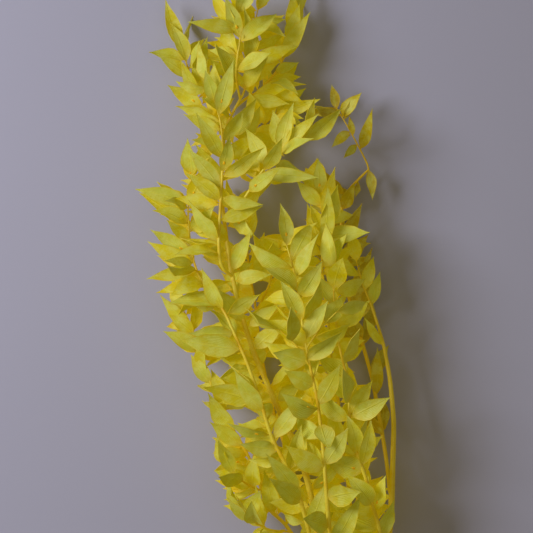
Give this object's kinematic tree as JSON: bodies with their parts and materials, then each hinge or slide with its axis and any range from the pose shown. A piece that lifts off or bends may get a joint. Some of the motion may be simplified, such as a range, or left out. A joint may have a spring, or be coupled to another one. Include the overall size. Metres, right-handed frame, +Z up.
{
  "type": "dried ruscus stem",
  "caption": "Dried, dyed ruscus stem lying flat: a cut woody stalk splits into long slender branches set with pointed leaf blades.",
  "frame": {"origin": "middle of the underside of the stem's box, on the surface that it lies on", "axes": "+Y along the stem towards its leafy tips, +Z up from the surface, +X to the right seen from above"},
  "size_m": [0.2604, 0.7582, 0.1302],
  "materials": {
    "dyed_stem": "matt, dyed yellow",
    "dyed_leaf": "matt, dyed yellow"
  },
  "bodies": {
    "root": {"stalk_and_arching_branch": "dyed_stem", "back_right_branch": "dyed_leaf", "inner_right_branch": "dyed_leaf", "front_right_branch": "dyed_leaf", "middle_branch": "dyed_leaf", "tall_left_branch": "dyed_leaf", "outer_left_branch": "dyed_leaf", "lower_left_branch": "dyed_leaf", "inner_left_branch": "dyed_leaf"}
  },
  "joints": []
}
